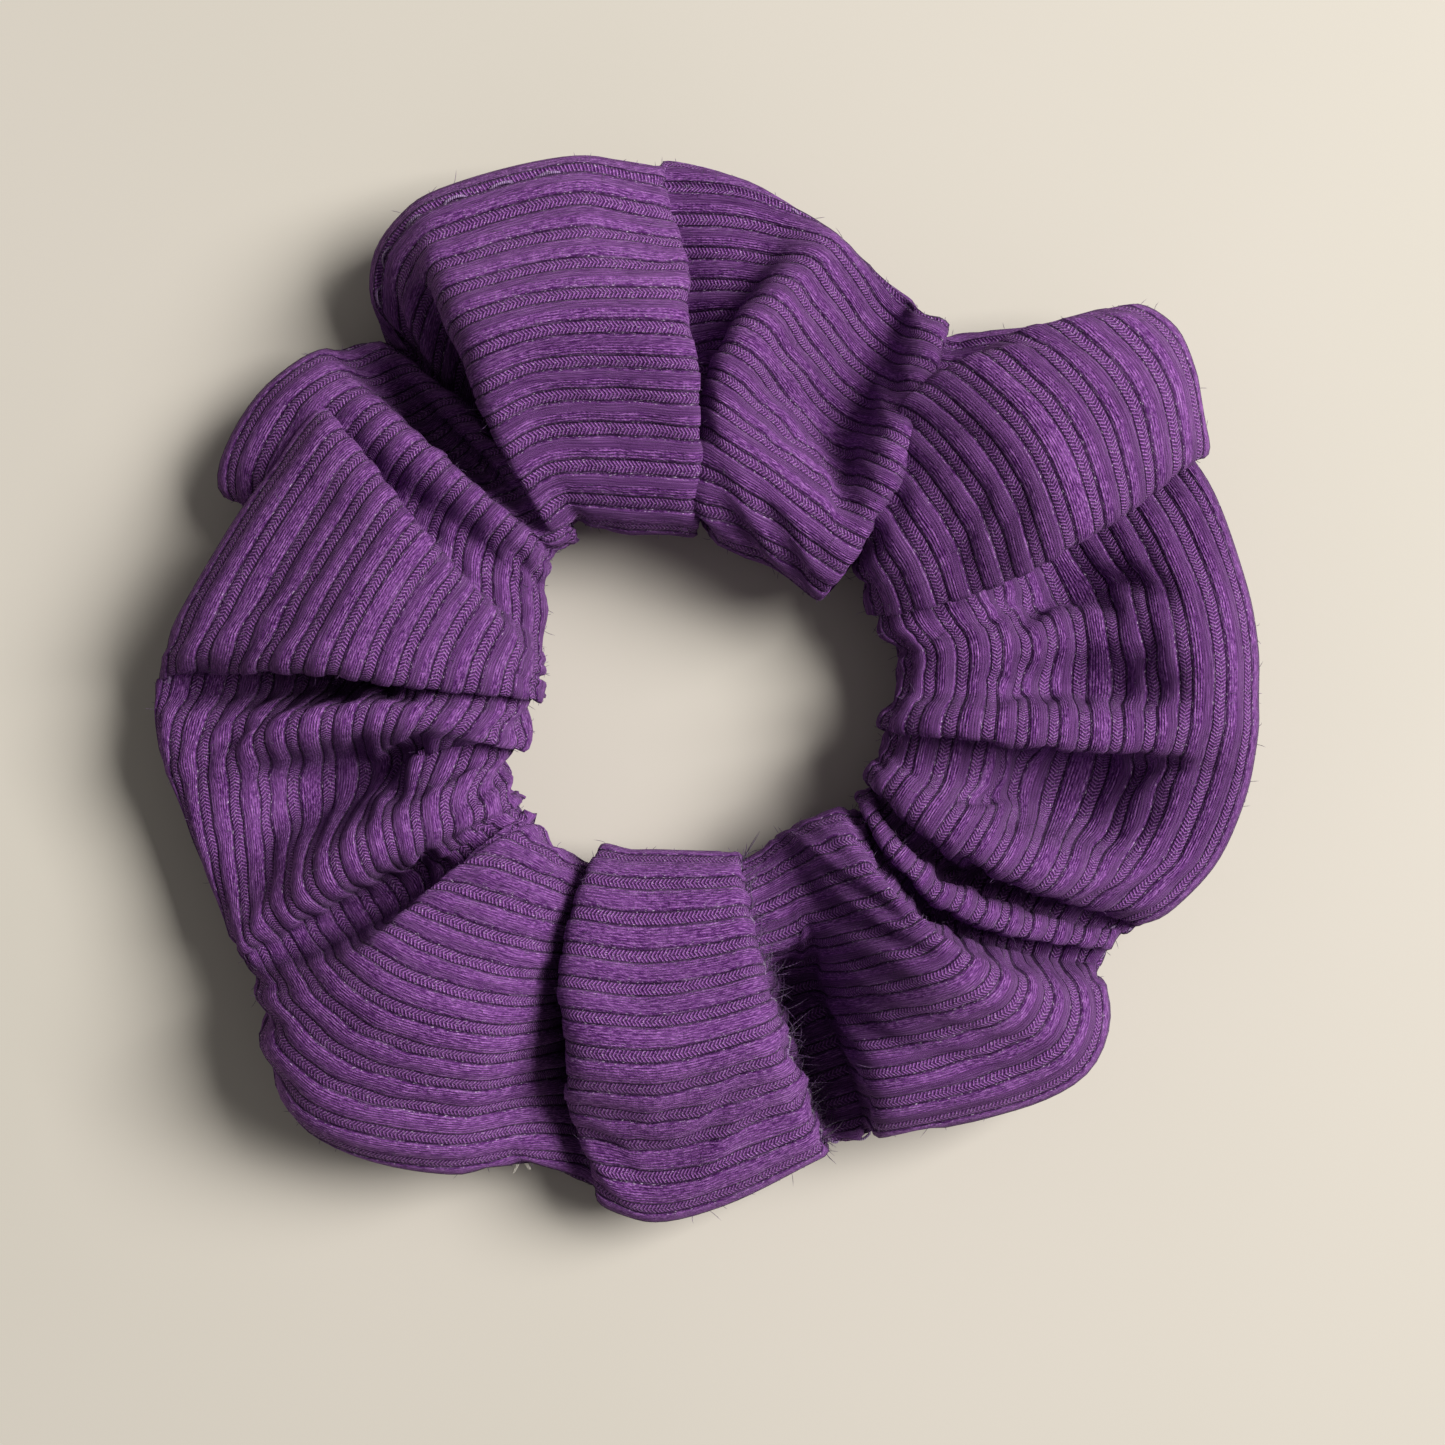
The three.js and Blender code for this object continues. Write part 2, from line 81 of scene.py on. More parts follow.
# The tube's cross sections, clockwise round the ring as seen from above, from the closing seam on. Each
# row holds the inner end's x and y, the outer end's x and y, how far the middle bows clockwise, the
# top's height near the inner end, in the middle and near the outer end, the rim's height, the
# underside's height, and how far the knit is turned inwards over the top.
SECTIONS = [
    # the bottom pleat, which the closing seam edges
    (4.0, -17.8, 12.4, -46.8, 0.9, 16.5, 15, 10, 7, 1, 0),
    (3.2, -17.0, 12.0, -47.8, 0.8, 21, 24, 16, 8, 1, 0),
    (-1.2, -16.7, 3.8, -52.2, 0.0, 22, 25, 16, 8, 1, 0),
    (-5.8, -16.5, -4.8, -55.4, 0.0, 22, 25, 14, 8, 1, 0),
    (-10.0, -16.3, -10.0, -52.9, 4.2, 21, 24, 13, 8, 1, 0),
    (-9.0, -17.7, -12.5, -50.4, 0.5, 14.5, 5, 7, 6, 3, 0),
    # the lower left pleat
    (-10.6, -18.5, -19.2, -48.5, 0.8, 15, 17, 14, 8, 2, 0),
    (-13.6, -17.4, -25.3, -49.5, 0.0, 20, 23, 18, 10, 1, 0),
    (-16.2, -15.4, -33.3, -48.4, 0.0, 21, 25, 20, 10, 1, -0.5),
    (-17.8, -13.4, -41.0, -45.1, 0.0, 20, 25, 21, 11, 1, -2),
    (-18.5, -12.6, -44.9, -37.4, 0.0, 18, 23, 21, 11, 1, -5),
    (-18.8, -12.2, -45.2, -31.0, -2.0, 16, 19, 19, 11, 1, -8),
    (-19.2, -11.6, -46.6, -28.5, -1.5, 14.5, 3, 10, 10, 3, -9),
    # the left rolls, which fade out towards the rim
    (-18.6, -12.6, -47.8, -26.0, 1.5, 21, 24, 17, 10, 1, -9),
    (-19.6, -10.2, -50.2, -20.8, 1.5, 20, 19, 14, 10, 1, -7),
    (-19.8, -7.6, -52.0, -16.2, 1.5, 14.5, 4, 12, 10, 2, -6),
    (-18.9, -5.6, -53.8, -11.4, 0.5, 14.5, 4, 13, 10, 3, -5),
    (-18.2, -6.8, -55.2, -8.0, 3.5, 21, 22, 15, 10, 1, -4),
    (-17.4, -3.0, -56.2, -3.6, 1.0, 20, 17, 14, 10, 1, -2),
    (-17.0, -0.4, -56.0, 0.2, 2.5, 14.5, 2, 7, 9, 3, -1),
    # the flat pleat on the left
    (-16.9, -1.6, -54.8, 3.4, -0.5, 20, 24, 18, 10, 1, 0),
    (-16.6, -0.6, -52.8, 7.5, 0.0, 22, 25, 20, 11, 1, 0),
    (-16.4, 0.2, -48.5, 14.5, 0.0, 22, 26, 21, 12, 1, 0),
    (-16.3, 1.1, -43.5, 22.0, 0.0, 22, 26, 22, 12, 1, 0),
    (-16.3, 2.2, -38.3, 28.3, 0.0, 21, 25, 22, 12, 1, 0),
    (-16.4, 4.6, -41.5, 23.5, 0.0, 14.5, 5, 6, 7, 3, 0),
    # the turned-in tip and the two rolls behind it
    (-16.0, 6.8, -49.0, 19.0, 0.0, 14.5, 8, 8, 7, 2, 0),
    (-16.3, 8.5, -49.9, 23.0, 0.0, 14.5, 12, 13, 8, 1, 0),
    (-16.5, 10.2, -45.8, 30.0, 0.0, 14.5, 15, 15, 8, 1, 0),
    (-16.0, 12.0, -40.0, 33.9, 0.5, 18, 20, 16, 8, 1, 0),
    (-15.0, 13.5, -36.0, 34.4, 0.5, 14.5, 5, 7, 7, 3, 0),
    (-13.3, 14.8, -32.3, 35.7, 0.0, 17, 14, 10, 7, 2, 1),
    # the big top pleat
    (-13.8, 16.0, -31.0, 34.8, 0.5, 14.5, 3, 5, 7, 4, 2),
    (-14.2, 15.9, -34.4, 39.5, 1.5, 14.5, 4, 10, 8, 3, 3),
    (-14.5, 15.7, -34.0, 44.6, 2.5, 14.5, 6, 15, 9, 2, 4),
    (-14.8, 15.4, -28.8, 49.6, -2.4, 21, 25, 20, 10, 1, 5),
    (-13.2, 16.6, -22.5, 52.0, 0.0, 22, 26, 20, 11, 1, 5),
    (-7.3, 15.3, -12.8, 53.8, 0.0, 22, 26, 20, 11, 1, 4.5),
    (-0.8, 15.5, -5.2, 53.0, 2.4, 22, 25, 15, 9, 1, 5),
    # the recess beside it, and the pleat with a dimple
    (-3.0, 16.8, -4.0, 54.0, -0.8, 14.5, 5, 9, 9, 3, 5),
    (-1.6, 17.3, 3.0, 52.8, -1.0, 14.5, 7, 10, 9, 2, 4),
    (-1.0, 17.7, 9.0, 49.6, -2.5, 14.5, 8, 10, 9, 2, 2),
    (-0.6, 15.7, 13.3, 46.0, -4.5, 21, 23, 16, 9, 2, 0),
    (4.2, 13.2, 17.0, 43.0, -3.0, 22, 15, 12, 9, 1, 0.5),
    (8.6, 10.8, 20.6, 40.0, -1.0, 21, 7, 6, 8, 3, 1.5),
    (11.5, 8.5, 24.2, 37.0, 1.5, 20, 22, 16, 8, 2, 2),
    (13.0, 10.8, 26.2, 35.7, 1.0, 15.5, 5, 7, 7, 4, 2),
    # the pleat that hangs over the right lobe
    (15.3, 13.5, 43.9, 38.2, -8.0, 17, 20, 22, 11, 2, 1),
    (15.9, 10.8, 48.4, 36.0, -3.5, 21, 26, 24, 12, 1, 0.5),
    (16.4, 9.2, 50.0, 31.0, -0.5, 21, 27, 25, 13, 1, 0),
    (17.4, 7.3, 50.4, 23.7, 3.2, 19, 24, 21, 12, 1, 0),
    (17.0, 8.6, 48.5, 25.5, -1.0, 14.5, 5, 7, 9, 3, 0),
    (17.2, 5.6, 51.4, 21.0, 1.0, 15, 7, 12, 11, 2, 0),
    # the right lobe and its rolls
    (19.4, 4.4, 53.7, 14.5, 0.0, 14.5, 4, 15, 12, 2, 0),
    (20.1, 3.0, 55.2, 8.5, 0.0, 17, 13, 19, 12, 1, 0),
    (19.9, 1.0, 56.0, 2.5, 0.0, 16, 9, 20, 12, 1, 0),
    (19.6, -0.8, 56.0, -1.0, -0.8, 15, 8, 19, 12, 2, 0),
    (18.4, -2.4, 56.0, -4.0, 0.0, 21, 19, 19, 12, 1, 0),
    (17.8, -3.8, 55.8, -6.8, 0.6, 23, 21, 17, 12, 1, 0),
    (18.6, -4.8, 55.2, -11.0, -1.5, 14.5, 3, 14, 11, 1, 0),
    (18.0, -6.6, 52.7, -18.0, 0.5, 14.5, 3, 12, 10, 1, 0),
    (17.2, -7.6, 48.0, -22.4, 1.2, 21, 20, 14, 9, 1, 0),
    (16.6, -9.0, 45.4, -24.0, 2.8, 22, 19, 12, 8, 1, 0),
    (17.2, -9.8, 43.6, -24.8, 3.4, 14.5, 3, 5, 7, 2, 0),
    (15.8, -11.0, 41.6, -26.6, 4.4, 21, 17, 11, 7, 2, 0),
    (16.2, -12.0, 40.4, -28.4, 4.2, 14.5, 3, 5, 7, 4, 0),
    # the lower right pleat
    (15.5, -12.7, 40.5, -30.4, 5.5, 21, 22, 17, 10, 1, 0),
    (13.4, -12.7, 41.2, -34.0, 3.0, 23, 26, 20, 11, 1, 0),
    (11.2, -13.2, 39.6, -39.3, 1.5, 22, 27, 21, 11, 1, 0),
    (9.2, -14.0, 33.4, -42.3, 0.5, 20, 26, 20, 11, 1, 0),
    (7.8, -14.9, 25.2, -44.4, 0.2, 15, 20, 20, 10, 1, 0),
    (7.0, -15.6, 18.6, -45.3, -0.4, 14.5, 13, 19, 9, 1, 0),
    (6.0, -16.6, 16.8, -45.6, 0.3, 14.5, 2, 2, 5, 3, 0),
    (4.6, -17.4, 13.4, -46.6, 0.6, 14.5, 2, 2, 5, 3, 0),
]
CORE_HEIGHT = 9.0
SECTION_ROUNDING = 0.8
SECTION_STEPS = 240
# Below 1, a section bows most on the inner side of its middle.
BOW_SKEW = 0.75
# Shares of the way out along a section: its top keeps the near height between the first two, has the
# middle's at the third, and keeps the far height between the last two.
HEIGHT_PLACES = (0.0, 0.25, 0.51, 0.8, 1.0)
# The gap between two sections is the length that this percentage of their points don't pass.
GAP_PERCENTILE = 80
# How much the strip's slope at a section takes from the sections on both sides of it.
TANGENT_SHARE = 0.3
# Rounds of smoothing of the threads' lengths, first from column to column and then from row to row.
ALONG_BLUR = (4, 8)
ACROSS_BLUR = (3, 3)
# The cloth's shortest and longest steps, as shares of the even step, along and across the strip.
SHORTEST_SHARE = 0.2
LONGEST_SHARE = 1.6
NARROWEST_SHARE = 0.55
WIDEST_SHARE = 1.35


def section_curve(row):
    """A closed cross section. It starts at the rim and runs over the top to the inner end, then back."""
    inner = np.array(row[0:2])
    outer = np.array(row[2:4])
    bow, near, middle, far, rim, low = row[4:10]
    turn = np.linspace(0, 2 * np.pi, SECTION_STEPS + 1)
    across = np.cos(turn)
    share = 0.5 + 0.5 * np.sign(across) * np.abs(across) ** SECTION_ROUNDING
    edge = CORE_HEIGHT + (rim - CORE_HEIGHT) * share
    top = np.interp(share, HEIGHT_PLACES, [near, near, middle, far, far])
    swell = np.abs(np.sin(turn)) ** SECTION_ROUNDING
    height = edge + swell * (np.where(turn <= np.pi, top, low) - edge)
    outward = (outer - inner) / np.linalg.norm(outer - inner)
    clockwise = np.array([outward[1], -outward[0]])
    plan = inner + share[:, None] * (outer - inner)
    plan = plan + bow * np.sin(np.pi * share**BOW_SKEW)[:, None] * clockwise
    return np.column_stack([plan, height])


def section_loops():
    """Every cross section with ROWS points, each at the same place in all of them but for the slides."""
    curves = np.array([section_curve(row) for row in SECTIONS])
    along = np.cumsum(np.linalg.norm(np.diff(curves, axis=1), axis=2), axis=1)
    along = np.concatenate([np.zeros((len(curves), 1)), along], axis=1)
    typical = (along / along[:, -1:]).mean(0)
    step = np.arange(SECTION_STEPS + 1)
    loops = []
    for row, curve, girth in zip(SECTIONS, curves, along[:, -1]):
        at = np.interp((np.arange(ROWS) / ROWS + row[10] / girth) % 1, typical, step)
        loops.append(np.column_stack([np.interp(at, step, curve[:, k]) for k in range(3)]))
    return np.array(loops)


def blurred(field, rounds, axis):
    """Field smoothed along one of its closed axes."""
    for _ in range(rounds):
        field = 0.25 * np.roll(field, 1, axis) + 0.5 * field + 0.25 * np.roll(field, -1, axis)
    return field


def laid_out_strip():
    """The strip as laid out: its points, and its threads' lengths along and across."""
    loops = section_loops()
    gaps = np.linalg.norm(np.roll(loops, -1, 0) - loops, axis=2)
    spans = np.percentile(gaps, GAP_PERCENTILE, axis=1)
    at = np.r_[0, np.cumsum(spans)]
    column = np.arange(COLUMNS) / COLUMNS * at[-1]
    k = np.searchsorted(at, column, side="right") - 1
    t = ((column - at[k]) / spans[k])[:, None, None]
    count = len(loops)
    before, a, b, after = (loops[(k + step) % count] for step in (-1, 0, 1, 2))
    start = TANGENT_SHARE * (b - before)
    end = TANGENT_SHARE * (after - a)
    strip = (
        (2 * t**3 - 3 * t**2 + 1) * a
        + (t**3 - 2 * t**2 + t) * start
        + (-2 * t**3 + 3 * t**2) * b
        + (t**3 - t**2) * end
    )
    along = np.linalg.norm(np.roll(strip, -1, 0) - strip, axis=2)
    along = blurred(blurred(along, ALONG_BLUR[0], 0), ALONG_BLUR[1], 1)
    even = STRIP_LENGTH / COLUMNS
    along = np.clip(along, SHORTEST_SHARE * even, LONGEST_SHARE * even)
    across = np.linalg.norm(np.roll(strip, -1, 1) - strip, axis=2)
    across = blurred(blurred(across, ACROSS_BLUR[0], 0), ACROSS_BLUR[1], 1)
    even = TUBE_GIRTH / ROWS
    across = np.clip(across, NARROWEST_SHARE * even, WIDEST_SHARE * even)
    return strip, along.astype(np.float32), across.astype(np.float32)


# ---------------------------------------------------------------- the cloth solver
SOLVER_STEPS = 110
SOLVER_ROUNDS = 6
GRAVITY_STEP = 0.002
DAMPING = 0.9
TOP_SPEED = 0.35
# How firmly each kind of link keeps its length: threads along and across, diagonals, and two spans of
# longer links that keep the cloth from creasing.
ALONG_GAIN = 1.0
ACROSS_GAIN = 0.8
SHEAR = 0.25
BEND_NEAR = 0.08
BEND_FAR = 0.03
# Points that may touch are listed again after so many steps, out to a margin beyond the thickness.
PAIR_REFRESH = 6
PAIR_MARGIN = 0.9
NEIGHBOURS = 2
# Cloth laid out side by side this near in the strip is gathered, and doesn't push itself apart.
GATHER_COLUMNS = 12
GATHER_ROWS = 3
TABLE_HEIGHT = 0.55
TABLE_GRIP = 0.6
# The hold on the laid-out shape: its share of the way back each step, less for the underside, and
# easing off to a half in the later steps. Rows up to TOP_ROWS and past RIM_ROWS are the top's.
HOLD = 0.30
HOLD_BELOW = 0.35
TOP_ROWS = 0.5
RIM_ROWS = 0.95
EASE_START = 0.4
EASE_RATE = 0.5
EASED_HOLD = 0.5
ELASTIC_HALF_WIDTH = 1.5
ELASTIC_SKIN = 1.0
# How far the band's middle lies inside its box, about half its thickness.
BAND_INSET = 0.4
START_NOISE = 0.04
SEED = 7


def pull_links(points, axis, span, rest, stretch, squeeze):
    """Distance links between points span apart along one closed grid axis."""
    count = points.shape[axis]
    index = np.arange(count)
    for phase in range(2):
        first = index[(index // span) % 2 == phase]
        second = (first + span) % count
        one = (first,) if axis == 0 else (slice(None), first)
        two = (second,) if axis == 0 else (slice(None), second)
        a = points[one]
        b = points[two]
        d = b - a
        length = np.sqrt(np.einsum("...k,...k->...", d, d)) + 1e-9
        wanted = rest[one] if rest.shape[axis] > 1 else rest
        error = length - wanted
        gain = np.where(error > 0, stretch, squeeze).astype(np.float32)
        move = (0.5 * gain * error / length)[..., None] * d
        points[one] = a + move
        points[two] = b - move


def pull_diagonals(points, sign, rest, gain):
    """Shear links from each point to a diagonal neighbour in the next column."""
    for phase in range(2):
        first = np.arange(phase, COLUMNS, 2)
        second = (first + 1) % COLUMNS
        a = points[first]
        b = np.roll(points[second], -sign, axis=1)
        d = b - a
        length = np.sqrt(np.einsum("...k,...k->...", d, d)) + 1e-9
        move = (0.5 * gain * (length - rest[first]) / length)[..., None] * d
        points[first] = a + move
        points[second] = np.roll(b - move, sign, axis=1)


def near_pairs(points, laid_out, reach):
    """Pairs of points closer than reach, apart from those gathered side by side in the cloth."""
    cell = np.floor(points / reach).astype(np.int64)
    cell -= cell.min(0) - 1
    size = cell.max(0) + 2
    key = (cell[:, 0] * size[1] + cell[:, 1]) * size[2] + cell[:, 2]
    order = np.argsort(key, kind="stable")
    key = key[order]
    index = np.arange(len(points))
    found = []
    for dx, dy in ((0, 0), (0, 1), (1, -1), (1, 0), (1, 1)):
        shift = (dx * size[1] + dy) * size[2]
        low = index + 1 if shift == 0 else np.searchsorted(key, key + shift - 1, side="left")
        high = np.searchsorted(key, key + shift + 1, side="right")
        count = np.maximum(high - low, 0)
        start = np.repeat(low - (np.cumsum(count) - count), count)
        found.append((np.repeat(index, count), np.arange(count.sum()) + start))
    a = order[np.concatenate([pair[0] for pair in found])]
    b = order[np.concatenate([pair[1] for pair in found])]
    columns_apart = np.abs(a // ROWS - b // ROWS)
    columns_apart = np.minimum(columns_apart, COLUMNS - columns_apart)
    rows_apart = np.abs(a % ROWS - b % ROWS)
    rows_apart = np.minimum(rows_apart, ROWS - rows_apart)
    d = points[a] - points[b]
    near = np.einsum("ij,ij->i", d, d) < reach**2
    keep = (np.maximum(columns_apart, rows_apart) > NEIGHBOURS) & near
    d = laid_out[a] - laid_out[b]
    beside = (columns_apart <= GATHER_COLUMNS) & (rows_apart <= GATHER_ROWS)
    keep &= ~(beside & (np.einsum("ij,ij->i", d, d) < reach**2))
    return a[keep], b[keep]


def push_apart(points, pairs):
    """Layers of cloth that touch push each other to one thickness apart."""
    flat = points.reshape(-1, 3)
    a, b = pairs
    d = flat[a] - flat[b]
    distance = np.sqrt(np.einsum("ij,ij->i", d, d)) + 1e-9
    hit = distance < CLOTH_THICKNESS
    a, b, d, distance = a[hit], b[hit], d[hit], distance[hit]
    push = (0.5 * (CLOTH_THICKNESS - distance) / distance)[:, None] * d
    count = len(flat)
    hits = np.bincount(a, minlength=count) + np.bincount(b, minlength=count)
    share = 1 / np.maximum(1, 0.5 * hits)
    for k in range(3):
        move = np.bincount(a, push[:, k], count) - np.bincount(b, push[:, k], count)
        flat[:, k] += (move * share).astype(np.float32)


class ElasticSpace:
    """A ring-shaped space round the elastic, kept clear of the cloth's middle surface."""

    def __init__(self, joint, node):
        low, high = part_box(node)
        self.centre = [value / MM for value in joint["pos_m"][:2]]
        corners = [abs(value) / MM for value in (low.x, low.y, high.x, high.y)]
        self.radius = sum(corners) / len(corners) - BAND_INSET
        self.middle = (low.z + high.z) / 2 / MM
        self.half_height = (high.z - low.z) / 2 / MM + ELASTIC_SKIN
        self.half_width = ELASTIC_HALF_WIDTH + ELASTIC_SKIN

    def clear(self, points):
        """Moves points out of the space by its nearest side."""
        x = points[..., 0] - self.centre[0]
        y = points[..., 1] - self.centre[1]
        z = points[..., 2] - self.middle
        r = np.sqrt(x * x + y * y) + 1e-9
        off = r - self.radius
        over_r = np.abs(off) - self.half_width
        over_z = np.abs(z) - self.half_height
        inside = (over_r < 0) & (over_z < 0)
        sideways = inside & (over_r > over_z)
        upright = inside & ~sideways
        scale = np.where(sideways, (self.radius + np.sign(off) * self.half_width) / r, 1)
        points[..., 0] = self.centre[0] + x * scale
        points[..., 1] = self.centre[1] + y * scale
        points[..., 2] = np.where(upright, self.middle + np.sign(z) * self.half_height, points[..., 2])


def rest_on_table(points, before):
    """Keeps cloth on the table, where friction holds it."""
    low = points[..., 2] < TABLE_HEIGHT
    points[..., 2] = np.where(low, TABLE_HEIGHT, points[..., 2])
    for k in range(2):
        slid = before[..., k] - points[..., k]
        points[..., k] += np.where(low, TABLE_GRIP * slid, 0)


def hold_weight(progress):
    """How firmly the laid-out shape holds each row: the top more than the underside."""
    row = np.arange(ROWS) / ROWS
    top = (row < TOP_ROWS) | (row > RIM_ROWS)
    by_row = np.where(top, 1.0, HOLD_BELOW)[None, :, None]
    ease = 1.0
    if progress >= EASE_START:
        ease = max(EASED_HOLD, 1 - (progress - EASE_START) / EASE_RATE)
    return (HOLD * ease * by_row).astype(np.float32)


def settled_strip(elastic):
    """The laid-out strip after it has settled as cloth."""
    strip, along, across = laid_out_strip()
    target = strip.astype(np.float32)
    noise = np.random.default_rng(SEED).normal(size=strip.shape) * START_NOISE
    points = target + noise.astype(np.float32)
    speed = np.zeros_like(points)
    diagonal = np.hypot(along, across)
    pairs = None
    for step in range(SOLVER_STEPS):
        before = points.copy()
        speed *= DAMPING
        speed[..., 2] -= GRAVITY_STEP
        pace = np.sqrt((speed**2).sum(-1, keepdims=True))
        points += speed * np.minimum(1, TOP_SPEED / np.maximum(pace, 1e-9))
        if step % PAIR_REFRESH == 0:
            reach = CLOTH_THICKNESS + PAIR_MARGIN
            pairs = near_pairs(points.reshape(-1, 3), target.reshape(-1, 3), reach)
        points += hold_weight(step / SOLVER_STEPS) * (target - points)
        for turn in range(SOLVER_ROUNDS):
            pull_links(points, 1, 4, 4 * across, 0.0, BEND_FAR)
            pull_links(points, 0, 4, 4 * along, 0.0, BEND_FAR)
            pull_links(points, 0, 2, 2 * along, 0.0, BEND_NEAR)
            pull_links(points, 1, 2, 2 * across, 0.0, BEND_NEAR)
            pull_diagonals(points, 1, diagonal, SHEAR)
            pull_diagonals(points, -1, diagonal, SHEAR)
            pull_links(points, 1, 1, across, ACROSS_GAIN, ACROSS_GAIN)
            pull_links(points, 0, 1, along, ALONG_GAIN, ALONG_GAIN)
            if turn % 2:
                push_apart(points, pairs)
                elastic.clear(points)
                rest_on_table(points, before)
        speed = points - before
    return points.astype(float)


# ---------------------------------------------------------------- surfaces
FINE_COLUMNS = 410
# The closing seam: extra columns at these distances from it, its groove, and the puckers beside it.
SEAM_COLUMNS = (0.25, 0.6, 1.0, 1.5, 2.1)
SEAM_GAP = 3
SEAM_DEPTH = 1.1
SEAM_REACH = 0.9
PUCKERS = 31
PUCKER_HEIGHT = 0.2
PUCKER_PLACE = 1.6
PUCKER_WIDTH = 0.8
LINING_COLUMNS = 220
LINING_ROWS = 64
LINING_DEPTH = 0.8
# One rib: places across it, as shares of the pitch with the open strip at 0, and heights.
RIB_PLACES = np.array([0.0, 0.12, 0.18, 0.245, 0.5, 0.755, 0.82, 0.88])
RIB_HEIGHTS = np.array([-0.07, -0.08, -0.16, 0.05, 0.08, 0.05, -0.16, -0.08])
# The long seam runs along the first rib's strip as a narrow crease between two rolled edges.
CREASE_HEIGHTS = {0: -0.65, 1: -0.1, 2: 0.16, -2: 0.16, -1: -0.1}


def spline(grid, at, axis):
    """The grid's smooth closed curve along one axis, at places from 0 to 1."""
    grid = np.moveaxis(grid, axis, 0)
    count = len(grid)
    place = np.asarray(at) * count
    k = np.floor(place).astype(int)
    t = (place - k).reshape(-1, *[1] * (grid.ndim - 1))
    weights = (
        (1 - t) ** 3 / 6,
        (3 * t**3 - 6 * t**2 + 4) / 6,
        (-3 * t**3 + 3 * t**2 + 3 * t + 1) / 6,
        t**3 / 6,
    )
    blend = sum(w * grid[(k + i - 1) % count] for i, w in enumerate(weights))
    return np.moveaxis(blend, 0, axis)


def normals(grid):
    """Unit normals of a closed grid, pointing out of the tube."""
    along = np.roll(grid, -1, 0) - np.roll(grid, 1, 0)
    across = np.roll(grid, -1, 1) - np.roll(grid, 1, 1)
    out = np.cross(across, along)
    out /= np.linalg.norm(out, axis=-1, keepdims=True) + 1e-12
    from_core = grid - grid.mean(1, keepdims=True)
    return out if (from_core * out).sum() > 0 else -out


def grid_quads(columns, rows):
    """Quads of a grid that closes both ways."""
    i = np.arange(columns)[:, None]
    j = np.arange(rows)[None, :]
    i_next = (i + 1) % columns
    j_next = (j + 1) % rows
    corners = [(i, j), (i, j_next), (i_next, j_next), (i_next, j)]
    return np.stack([a * rows + b for a, b in corners], -1).reshape(-1, 4)


def mesh_piece(name, points, quads, material, uv=None):
    """A smooth mesh object from millimetre points and quads."""
    mesh = bpy.data.meshes.new(name)
    mesh.vertices.add(len(points))
    mesh.vertices.foreach_set("co", (points * MM).astype(np.float32).ravel())
    mesh.loops.add(quads.size)
    mesh.loops.foreach_set("vertex_index", quads.astype(np.int32).ravel())
    mesh.polygons.add(len(quads))
    mesh.polygons.foreach_set("loop_start", np.arange(0, quads.size, 4, dtype=np.int32))
    mesh.polygons.foreach_set("use_smooth", np.ones(len(quads), bool))
    mesh.update(calc_edges=True)
    mesh.validate()
    if uv is not None:
        layer = mesh.uv_layers.new(name="cloth")
        layer.data.foreach_set("uv", uv.astype(np.float32).ravel())
    mesh.materials.append(material)
    piece = bpy.data.objects.new(name, mesh)
    bpy.context.scene.collection.objects.link(piece)
    return piece


def cloth_uv(grid, rows_at):
    """Corner UVs in rib pitches: each rib's length along it, and ribs across."""
    rows = grid.shape[1]
    steps = np.linalg.norm(np.roll(grid, -1, 0) - grid, axis=2) / RIB_PITCH
    rib = np.floor(rows_at * RIB_COUNT + 0.5).astype(int) % RIB_COUNT
    for k in range(RIB_COUNT):
        steps[:, rib == k] = steps[:, rib == k].mean(1, keepdims=True)
    along = np.concatenate([np.zeros((1, rows)), np.cumsum(steps, 0)])
    across = np.r_[rows_at * RIB_COUNT, RIB_COUNT + rows_at[0] * RIB_COUNT]
    along = np.column_stack([along, along[:, 0]])
    u = np.stack([along[:-1, :-1], along[:-1, 1:], along[1:, 1:], along[1:, :-1]], -1)
    low = np.broadcast_to(across[None, :-1], u.shape[:2])
    high = np.broadcast_to(across[None, 1:], u.shape[:2])
    v = np.stack([low, high, high, low], -1)
    return np.stack([u, v], -1).reshape(-1, 2)


def facing(points, quads, out):
    """Quads turned so that they face along the given normals."""
    a, b, c = (points[quads[:, k]] for k in range(3))
    face = np.cross(b - a, c - a)
    return quads if (face * out[quads[:, 0]]).sum() > 0 else quads[:, ::-1]


def fine_columns():
    """Places along the strip, from 0 to 1, closer together beside the closing seam."""
    seam = np.array(SEAM_COLUMNS) / STRIP_LENGTH
    edge = SEAM_GAP * seam[0] + seam[-1]
    rest = np.linspace(edge, 1 - SEAM_GAP * seam[0] - seam[-1], FINE_COLUMNS)
    return np.concatenate([[0.0], seam, rest, 1 - seam[::-1]])


def closing_seam_heights(columns_at, rows_at):
    """The closing seam's groove, and the puckers that its stitches draw up beside it."""
    away = np.minimum(columns_at, 1 - columns_at)[:, None] * STRIP_LENGTH
    groove = -SEAM_DEPTH * np.exp(-((away / SEAM_REACH) ** 2))
    beside = np.exp(-(((away - PUCKER_PLACE) / PUCKER_WIDTH) ** 2))
    return groove + PUCKER_HEIGHT * beside * np.cos(2 * np.pi * PUCKERS * rows_at)[None, :]


